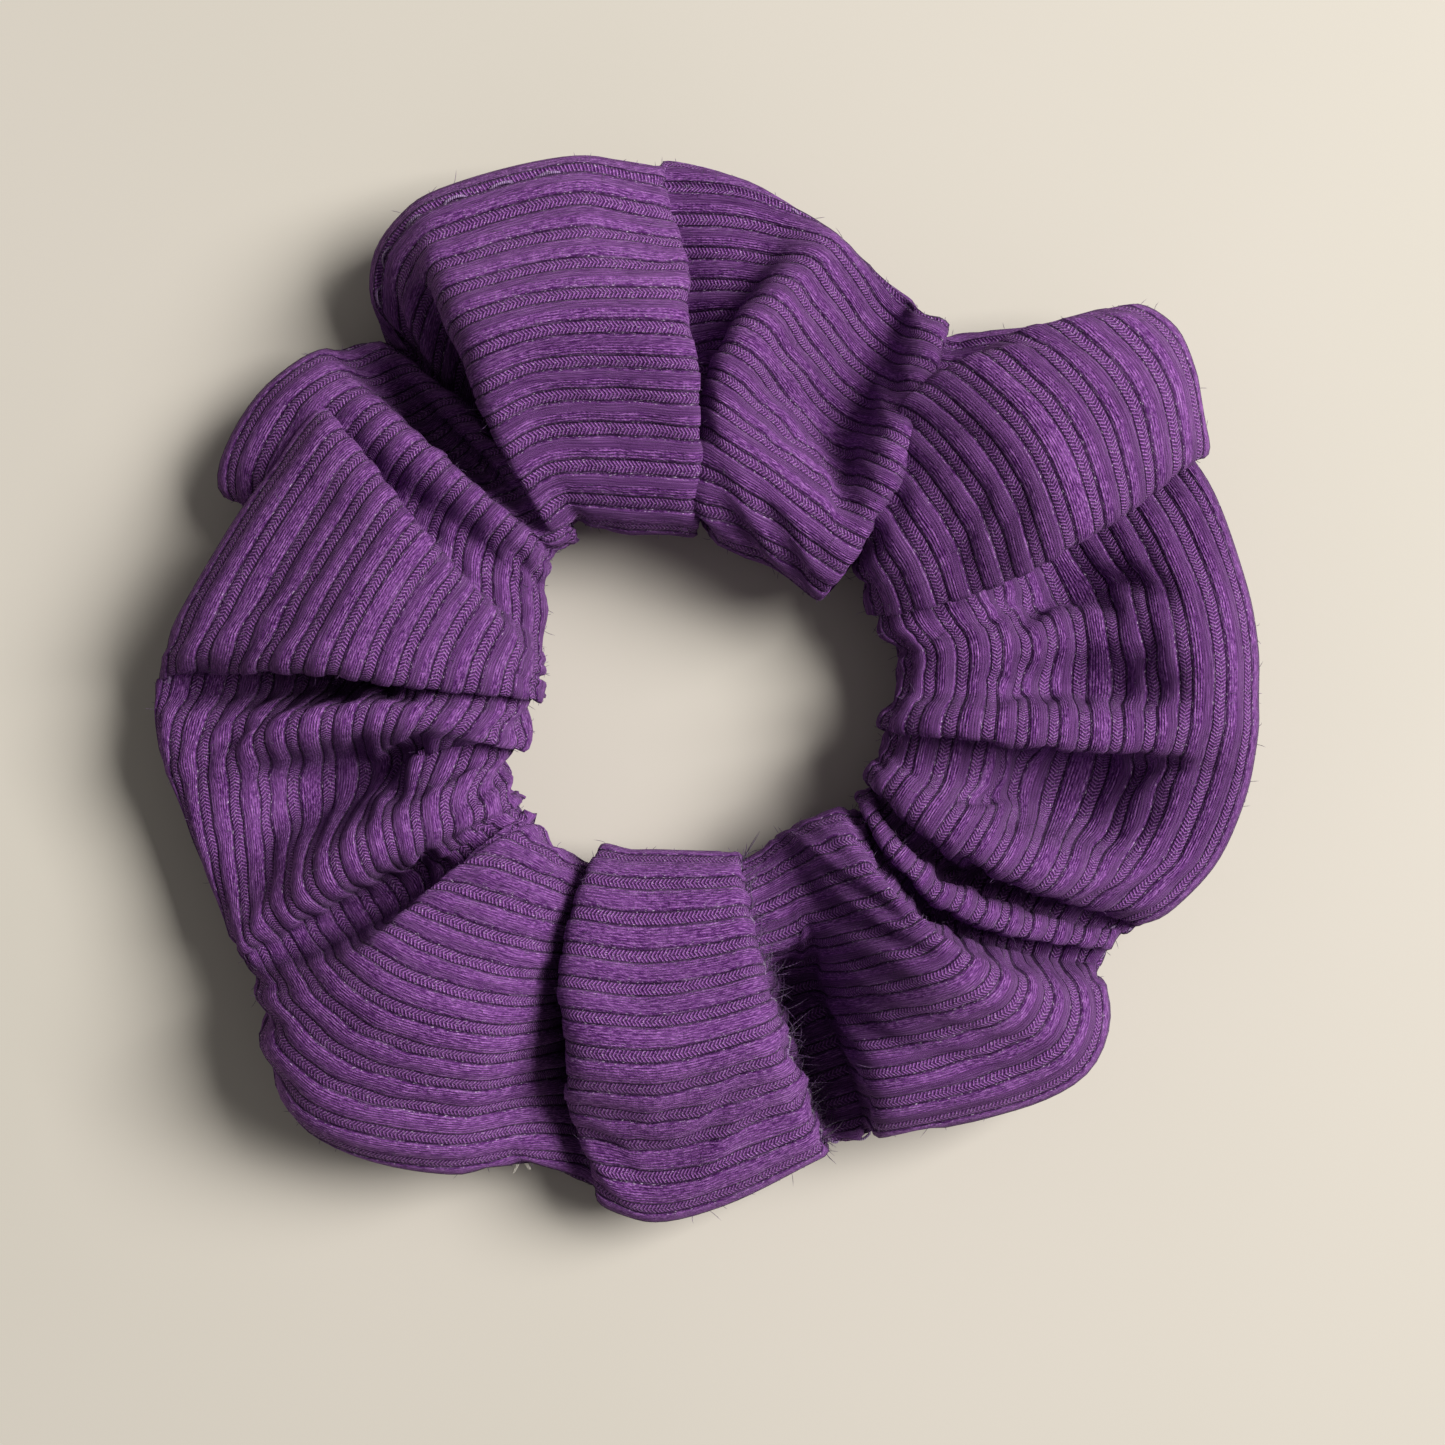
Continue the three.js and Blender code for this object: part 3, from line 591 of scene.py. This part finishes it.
def knit_cover(strip, material):
    """The cover: an outer face with real ribs, and a smooth inner face inside it.

    It comes with the outer face's points and its normals."""
    rows_at = ((np.arange(RIB_COUNT)[:, None] + RIB_PLACES) / RIB_COUNT).ravel()
    columns_at = fine_columns()
    face = spline(spline(strip, columns_at, 0), rows_at, 1)
    out = normals(face)
    ribs = np.tile(RIB_HEIGHTS, RIB_COUNT)
    for row, height in CREASE_HEIGHTS.items():
        ribs[row] = height
    outer = face + out * (ribs[None, :] + closing_seam_heights(columns_at, rows_at))[..., None]
    uv = cloth_uv(face, rows_at)
    outer_quads = grid_quads(len(columns_at), len(rows_at))
    lining_at = np.arange(LINING_ROWS) / LINING_ROWS
    inner = spline(spline(strip, np.arange(LINING_COLUMNS) / LINING_COLUMNS, 0), lining_at, 1)
    inward = -normals(inner)
    inner_uv = cloth_uv(inner, lining_at)
    inner = inner + inward * LINING_DEPTH
    inner_quads = grid_quads(LINING_COLUMNS, LINING_ROWS)
    flat_outer = outer.reshape(-1, 3)
    flat_inner = inner.reshape(-1, 3)
    outer_quads_out = facing(flat_outer, outer_quads, out.reshape(-1, 3))
    inner_quads_out = facing(flat_inner, inner_quads, inward.reshape(-1, 3))
    if outer_quads_out is not outer_quads:
        uv = uv.reshape(-1, 4, 2)[:, ::-1].reshape(-1, 2)
    if inner_quads_out is not inner_quads:
        inner_uv = inner_uv.reshape(-1, 4, 2)[:, ::-1].reshape(-1, 2)
    points = np.concatenate([flat_outer, flat_inner])
    quads = np.concatenate([outer_quads_out, inner_quads_out + len(flat_outer)])
    piece = mesh_piece("knit_cover", points, quads, material, np.concatenate([uv, inner_uv]))
    return piece, outer, out


# ---------------------------------------------------------------- threads and fibres
THREAD_RADIUS = 0.15
THREAD_SIDES = 6
THREAD_TAPER = 0.15
LOWEST_THREAD = 0.05
# The long seam's running stitch: its length, the steps it is drawn in, and its lift and swing.
LONG_STITCH = 2.4
STITCH_STEPS = 8
STITCH_LIFT = 0.15
STITCH_SWING = 0.5
# The closing seam's stitches: columns to each side, height over the cloth, and depth into it.
CLOSING_COLUMNS = 3
CLOSING_LIFT = 0.1
CLOSING_DEPTH = 0.5
TAIL_RADIUS = 0.2
TAIL_PLACE = (-19.4, -49.3, 5.0)
TAIL_LENGTHS = (2.6, 2.1)
TAIL_LEANS = (-0.35, 0.3)
TAIL_ROOT = 0.4
TAIL_POINTS = 9
FIBRE_SIDES = 3
FIBRE_POINTS = 5
FIBRE_CURL = 0.5
FRAY_COUNT = 420
FRAY_RADIUS = 0.045
FRAY_COLUMNS = 7
FRAY_LENGTHS = (0.8, 2.6)
FRAY_LEAN = 0.7
FUZZ_COUNT = 5200
FUZZ_RADIUS = 0.028
FUZZ_LENGTHS = (0.25, 0.85)
FUZZ_LEAN = 1.2


def strands(name, paths, radius, sides, material):
    """Round threads with tapered ends along paths of shape (threads, points, 3)."""
    ahead = np.gradient(paths, axis=1)
    ahead /= np.linalg.norm(ahead, axis=-1, keepdims=True) + 1e-9
    side = np.cross(ahead, (0.31, 0.17, 0.93))
    side /= np.linalg.norm(side, axis=-1, keepdims=True) + 1e-9
    up = np.cross(side, ahead)
    angle = 2 * np.pi * np.arange(sides) / sides
    ring = np.cos(angle)[:, None] * side[:, :, None] + np.sin(angle)[:, None] * up[:, :, None]
    count, steps = paths.shape[:2]
    taper = np.ones(steps)
    taper[[0, -1]] = THREAD_TAPER
    points = paths[:, :, None] + radius * taper[:, None, None] * ring
    points[..., 2] = np.maximum(points[..., 2], LOWEST_THREAD)
    thread = (np.arange(count) * steps * sides)[:, None, None]
    step = (np.arange(steps - 1) * sides)[None, :, None]
    one = np.arange(sides)[None, None, :]
    two = (one + 1) % sides
    near = thread + step
    far = near + sides
    quads = np.stack([near + one, near + two, far + two, far + one], -1).reshape(-1, 4)
    return mesh_piece(name, points.reshape(-1, 3), quads, material)


def resampled(path, step):
    """Points at an even step along a path."""
    along = np.r_[0, np.cumsum(np.linalg.norm(np.diff(path, axis=0), axis=1))]
    at = np.arange(0, along[-1], step)
    return np.column_stack([np.interp(at, along, path[:, k]) for k in range(3)])


def long_seam_path(outer, out):
    """Running stitches along the crease where the tube's long edges meet."""
    crease = resampled(outer[:, 0], LONG_STITCH / STITCH_STEPS)
    count = len(crease)
    at = np.linspace(0, 1, count)
    columns = np.linspace(0, 1, len(out))
    up = np.column_stack([np.interp(at, columns, out[:, 0, k]) for k in range(3)])
    wave = np.sin(np.pi * np.arange(count) / STITCH_STEPS)
    swing = STITCH_SWING * np.sign(wave) * np.abs(wave) ** 0.5
    return crease + up * (STITCH_LIFT + swing)[:, None]


def closing_seam_path(outer, out):
    """Stitches that zigzag across the groove where the tube's ends meet, all the way round it."""
    rows = outer.shape[1]
    path = []
    for k in range(2 * PUCKERS):
        row = round(k * rows / (2 * PUCKERS)) % rows
        column = CLOSING_COLUMNS if k % 2 else -CLOSING_COLUMNS
        top = outer[column, row] + CLOSING_LIFT * out[column, row]
        down = outer[column, row] - CLOSING_DEPTH * out[column, row]
        path += [top, down, top]
    return np.array(path)


def fibres(outer, out, columns, rows, lengths, lean, random):
    """Short curved fibres that stand out of the knit at the given grid places."""
    root = outer[columns, rows]
    way = out[columns, rows] + lean * random.normal(size=root.shape)
    way /= np.linalg.norm(way, axis=1, keepdims=True)
    curl = FIBRE_CURL * random.normal(size=root.shape)
    t = np.linspace(0, 1, FIBRE_POINTS)[:, None]
    return root[:, None] + lengths[:, None, None] * (t * way[:, None] + t**2 * curl[:, None])


def loose_tail(outer, out):
    """Two loose ends of the long seam's thread, hanging from the rim."""
    away = np.linalg.norm(outer - TAIL_PLACE, axis=-1)
    column, row = np.unravel_index(away.argmin(), away.shape)
    root = outer[column, row] - TAIL_ROOT * out[column, row]
    t = np.linspace(0, 1, TAIL_POINTS)[:, None]
    paths = []
    for length, lean in zip(TAIL_LENGTHS, TAIL_LEANS):
        way = np.array([lean, -1.0, 0.0])
        drop = np.array([0.5 * lean, 0.15, -1.5])
        paths.append(root + length * (t * way + 0.5 * t**2 * drop))
    return np.array(paths)


# ---------------------------------------------------------------- materials
class Nodes:
    """Short names for making one material's nodes."""

    def __init__(self, name):
        self.material = bpy.data.materials.new(name)
        self.material.use_nodes = True
        self.tree = self.material.node_tree
        self.shader = self.tree.nodes["Principled BSDF"]

    def add(self, kind, inputs=(), **settings):
        node = self.tree.nodes.new(kind)
        for key, value in settings.items():
            setattr(node, key, value)
        for key, value in dict(inputs).items():
            self.feed(node.inputs[key], value)
        return node

    def feed(self, socket, value):
        if isinstance(value, bpy.types.NodeSocket):
            self.tree.links.new(value, socket)
        else:
            socket.default_value = value

    def math(self, operation, a, b=0.0, c=0.0):
        return self.add("ShaderNodeMath", {0: a, 1: b, 2: c}, operation=operation).outputs[0]

    def ramp(self, value, low, high):
        """0 at low to 1 at high, with soft ends."""
        return self.add(
            "ShaderNodeMapRange",
            {"Value": value, "From Min": low, "From Max": high},
            interpolation_type="SMOOTHSTEP",
        ).outputs["Result"]

    def mix(self, share, a, b):
        node = self.add("ShaderNodeMix", data_type="RGBA")
        self.feed(node.inputs[0], share)
        self.feed(node.inputs[6], a)
        self.feed(node.inputs[7], b)
        return node.outputs[2]

    def noise(self, vector, scale, detail=2.0, roughness=0.5):
        node = self.add("ShaderNodeTexNoise", {"Scale": scale, "Detail": detail, "Roughness": roughness})
        self.feed(node.inputs["Vector"], vector)
        return node.outputs["Fac"]

    def finish(self, **values):
        for key, value in values.items():
            self.feed(self.shader.inputs[key.replace("_", " ")], value)
        return self.material


def knit_material():
    """Heathered purple rib knit: flat bands of fine columns between open zigzag strips, with painted shade
    in the grooves at the strips' edges.
    """
    n = Nodes("knit")
    uv = n.add("ShaderNodeUVMap", uv_map="cloth").outputs["UV"]
    split = n.add("ShaderNodeSeparateXYZ", {"Vector": uv})
    u, v = split.outputs["X"], split.outputs["Y"]
    phase = n.math("SUBTRACT", n.math("FRACT", n.math("ADD", v, 0.5)), 0.5)
    off = n.math("ABSOLUTE", phase)
    strip = n.ramp(off, 0.175, 0.15)
    groove = n.math("MULTIPLY", n.ramp(off, 0.14, 0.172), n.ramp(off, 0.24, 0.195))
    stretched = n.add("ShaderNodeVectorMath", {0: uv, 1: (2.2, 10.0, 1.0)}, operation="MULTIPLY").outputs[0]
    streak = n.noise(stretched, 1.9, 3.0, 0.7)
    fleck = n.noise(stretched, 5.0, 2.0, 0.7)
    cloud = n.noise(uv, 0.7, 3.0, 0.5)
    grain = n.noise(uv, 22.0, 2.0, 0.6)
    slant = n.math("MULTIPLY_ADD", off, 6.0, n.math("MULTIPLY", u, 10.0))
    stitch = n.ramp(n.math("PINGPONG", slant, 0.5), 0.16, 0.42)
    stitch = n.math("MULTIPLY", stitch, strip)
    wale = n.math("PINGPONG", n.math("MULTIPLY", off, 13.0), 0.5)
    wale = n.math("MULTIPLY", n.ramp(wale, 0.0, 0.45), n.math("SUBTRACT", 1.0, strip))
    loops = n.math("ADD", u, n.math("MULTIPLY", wale, 0.05))
    loops = n.math("PINGPONG", n.math("MULTIPLY", loops, 9.0), 0.5)
    groove_shade, deep = (0.005, 0.0, 0.010, 1), (0.020, 0.001, 0.033, 1)
    mid, light, pale = (0.084, 0.012, 0.134, 1), (0.385, 0.145, 0.50, 1), (0.80, 0.66, 0.87, 1)
    colour = n.mix(n.ramp(streak, 0.40, 0.66), mid, light)
    colour = n.mix(n.math("MULTIPLY", n.ramp(fleck, 0.54, 0.36), 0.75), colour, deep)
    colour = n.mix(n.math("MULTIPLY", n.ramp(cloud, 0.35, 0.75), 0.2), colour, light)
    colour = n.mix(n.math("MULTIPLY", n.ramp(wale, 0.7, 0.0), 0.35), colour, deep)
    colour = n.mix(n.math("MULTIPLY", strip, 0.42), colour, deep)
    glint = n.math("MULTIPLY", stitch, n.ramp(grain, 0.3, 0.62))
    colour = n.mix(n.math("MULTIPLY", glint, 0.9), colour, light)
    # Painted shade: the grooves at the strips' edges are darkened almost to black.
    colour = n.mix(n.math("MULTIPLY", groove, 0.85), colour, groove_shade)
    # Thin pale lines along the bands: partly pale threads in the yarn, partly painted highlight along the
    # ribs' tops.
    drawn = n.add("ShaderNodeVectorMath", {0: uv, 1: (0.45, 11.0, 1.0)}, operation="MULTIPLY").outputs[0]
    line = n.ramp(n.noise(drawn, 1.7, 2.0, 0.6), 0.55, 0.68)
    line = n.math("MULTIPLY", line, n.math("SUBTRACT", 1.0, strip))
    colour = n.mix(n.math("MULTIPLY", line, 0.2), colour, (0.52, 0.28, 0.64, 1))
    spark = n.ramp(n.noise(stretched, 4.3, 1.0, 0.5), 0.64, 0.72)
    spark = n.math("MULTIPLY", spark, n.ramp(off, 0.45, 0.2))
    colour = n.mix(n.math("MULTIPLY", spark, 0.55), colour, pale)
    height = n.math("MULTIPLY", wale, 0.4)
    height = n.math("ADD", height, n.math("MULTIPLY", stitch, 0.7))
    height = n.math("SUBTRACT", height, n.math("MULTIPLY", groove, 0.8))
    height = n.math("ADD", height, n.math("MULTIPLY", loops, 0.25))
    height = n.math("ADD", height, n.math("MULTIPLY", streak, 0.7))
    height = n.math("ADD", height, n.math("MULTIPLY", grain, 0.6))
    bump = n.add("ShaderNodeBump", {"Strength": 0.9, "Distance": 0.00024, "Height": height})
    roughness = n.math("MULTIPLY_ADD", grain, 0.15, 0.72)
    return n.finish(
        Base_Color=colour, Roughness=roughness, Normal=bump.outputs["Normal"],
        Specular_IOR_Level=0.12, Sheen_Weight=0.10, Sheen_Roughness=0.35, Sheen_Tint=(0.78, 0.48, 0.92, 1),
    )


def spun_material(name, dark, light, scale):
    """Spun thread or woven elastic: fine twisted streaks in two tones."""
    n = Nodes(name)
    place = n.add("ShaderNodeTexCoord").outputs["Object"]
    wave = n.add("ShaderNodeTexWave", {"Vector": place, "Scale": scale, "Distortion": 3.0, "Detail": 2.0})
    fibre = n.noise(place, scale * 4, 3.0, 0.6)
    colour = n.mix(wave.outputs["Fac"], dark, light)
    colour = n.mix(n.ramp(fibre, 0.6, 0.3), colour, dark)
    height = n.math("MULTIPLY_ADD", fibre, 0.5, wave.outputs["Fac"])
    bump = n.add("ShaderNodeBump", {"Strength": 0.6, "Distance": 0.0001, "Height": height})
    return n.finish(
        Base_Color=colour, Roughness=n.math("MULTIPLY_ADD", fibre, 0.2, 0.55),
        Normal=bump.outputs["Normal"], Sheen_Weight=0.2,
    )


def table_material():
    """Plain matt paint."""
    n = Nodes("table_paint")
    place = n.add("ShaderNodeTexCoord").outputs["Object"]
    wash = n.noise(place, 9.0, 2.0, 0.5)
    colour = n.mix(n.ramp(wash, 0.3, 0.7), (0.51, 0.48, 0.42, 1), (0.53, 0.495, 0.44, 1))
    return n.finish(Base_Color=colour, Roughness=0.6, Specular_IOR_Level=0.3)


# ---------------------------------------------------------------- the scene
elastic_space = ElasticSpace(frame["joints"][0], "elastic_band")
cover_strip = settled_strip(elastic_space)

cover, outer_face, outer_normals = knit_cover(cover_strip, knit_material())
random = np.random.default_rng(SEED)
seam_spin = spun_material("seam_thread", (0.13, 0.06, 0.19, 1), (0.42, 0.28, 0.50, 1), 1500.0)
tail_spin = spun_material("tail_thread", (0.62, 0.58, 0.52, 1), (0.85, 0.82, 0.76, 1), 1500.0)
fibre_spin = spun_material("fibre", (0.03, 0.005, 0.05, 1), (0.13, 0.045, 0.18, 1), 900.0)

long_path = long_seam_path(outer_face, outer_normals)
long_seam = strands("long_seam_stitches", long_path[None], THREAD_RADIUS, THREAD_SIDES, seam_spin)
closing_path = closing_seam_path(outer_face, outer_normals)
closing_seam = strands("closing_seam_stitches", closing_path[None], THREAD_RADIUS, THREAD_SIDES, seam_spin)
tail_paths = loose_tail(outer_face, outer_normals)
tail = strands("loose_thread_tail", tail_paths, TAIL_RADIUS, THREAD_SIDES, tail_spin)
fray = strands(
    "seam_fray",
    fibres(
        outer_face, outer_normals,
        -random.integers(1, FRAY_COLUMNS, FRAY_COUNT),
        random.integers(0, outer_face.shape[1], FRAY_COUNT),
        random.uniform(*FRAY_LENGTHS, FRAY_COUNT), FRAY_LEAN, random,
    ),
    FRAY_RADIUS, FIBRE_SIDES, fibre_spin,
)
fuzz = strands(
    "knit_fuzz",
    fibres(
        outer_face, outer_normals,
        random.integers(0, outer_face.shape[0], FUZZ_COUNT),
        random.integers(0, outer_face.shape[1], FUZZ_COUNT),
        random.uniform(*FUZZ_LENGTHS, FUZZ_COUNT), FUZZ_LEAN, random,
    ),
    FUZZ_RADIUS, FIBRE_SIDES, fibre_spin,
)
for piece, slot in (
    (cover, "knit"), (long_seam, "seam_thread"), (closing_seam, "seam_thread"),
    (tail, "white_thread"), (fray, "knit"), (fuzz, "knit"),
):
    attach(piece, BODY)
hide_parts("fabric_tube")
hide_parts("long_seam_thread")
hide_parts("closing_seam_thread")

for node in ("elastic_band", "elastic_stitches"):
    mesh = frame["nodes"][node].data
    mesh.materials.clear()
    mesh.materials.append(spun_material(node, (0.55, 0.52, 0.46, 1), (0.8, 0.78, 0.72, 1), 900.0))


# ---------------------------------------------------------------- the table, the light and the camera
TABLE_SIZE = 3
WORLD_COLOUR = (1.0, 0.98, 0.95, 1)
WORLD_STRENGTH = 0.18
LAMP_PLACE = (0.88, 0.27, 1.0)
LAMP_POWER = 33.0
LAMP_SIZE = 0.7
LAMP_COLOUR = (1.0, 0.98, 0.95)
CAMERA_PLACE = (0.0019, -0.0037, 0.296)
CAMERA_LENS = 70
SENSOR_WIDTH = 36


def table():
    bpy.ops.mesh.primitive_plane_add(size=TABLE_SIZE)
    floor = bpy.context.object
    floor.name = "table"
    floor.data.materials.append(table_material())


def world():
    made = bpy.data.worlds.new("studio")
    made.use_nodes = True
    background = made.node_tree.nodes["Background"]
    background.inputs["Color"].default_value = WORLD_COLOUR
    background.inputs["Strength"].default_value = WORLD_STRENGTH
    bpy.context.scene.world = made


def lamp():
    """One soft window, aimed at the middle of the table."""
    data = bpy.data.lights.new("window", "AREA")
    data.energy = LAMP_POWER
    data.size = LAMP_SIZE
    data.color = LAMP_COLOUR
    holder = bpy.data.objects.new("window", data)
    bpy.context.scene.collection.objects.link(holder)
    holder.location = LAMP_PLACE
    holder.rotation_euler = (-Vector(LAMP_PLACE)).to_track_quat("-Z", "Y").to_euler()


def camera():
    """It looks straight down."""
    data = bpy.data.cameras.new("camera")
    data.lens = CAMERA_LENS
    data.sensor_width = SENSOR_WIDTH
    holder = bpy.data.objects.new("camera", data)
    bpy.context.scene.collection.objects.link(holder)
    holder.location = CAMERA_PLACE
    bpy.context.scene.camera = holder


table()
world()
lamp()
camera()
bpy.context.scene.view_settings.view_transform = "Standard"
